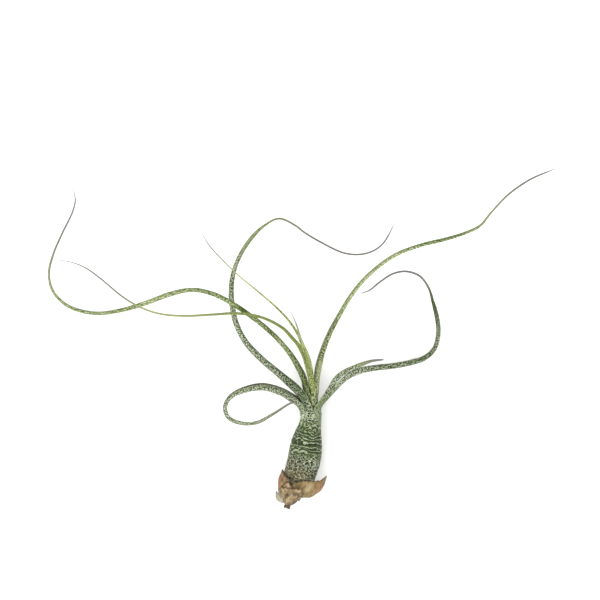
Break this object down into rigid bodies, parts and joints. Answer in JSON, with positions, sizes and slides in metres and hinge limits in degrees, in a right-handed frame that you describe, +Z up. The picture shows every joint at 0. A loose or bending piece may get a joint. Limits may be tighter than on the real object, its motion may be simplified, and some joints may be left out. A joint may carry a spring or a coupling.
{
  "type": "air plant",
  "caption": "Air plant lying on its side: a banded bulb of wrapped leaf bases, long curling channelled leaves with dry thread tips, and papery sheaths and root stubs at its base.",
  "frame": {"origin": "on the surface the plant lies on, under the middle of its outline", "axes": "+Z up from that surface, +Y from the roots towards the leaves, +X to the right as the picture shows it from above"},
  "size_m": [0.2252, 0.1516, 0.056],
  "materials": {
    "leaf": "silvery green, speckled across the leaf with grey scales, dark bands on the bulb, dry and matt",
    "young_leaf": "fresh yellow-green with fine grey speckles, matt",
    "dry_sheath": "dry tan papery sheath with fine lengthwise veins",
    "woody_stem": "dark brown woody stem and root stubs"
  },
  "bodies": {
    "root": {"stem_and_roots": "woody_stem", "leaf_left_low": "leaf", "leaf_right_low": "leaf", "leaf_left_tall": "leaf", "leaf_right_short": "leaf", "leaf_left_long": "leaf", "leaf_right_long": "leaf", "leaf_young_left": "young_leaf", "leaf_young_middle": "young_leaf", "leaf_heart": "young_leaf", "dry_sheath_right": "dry_sheath", "dry_sheath_front": "dry_sheath", "dry_sheath_left": "dry_sheath", "dry_sheath_middle": "dry_sheath", "dry_sheath_low": "dry_sheath"}
  },
  "joints": []
}
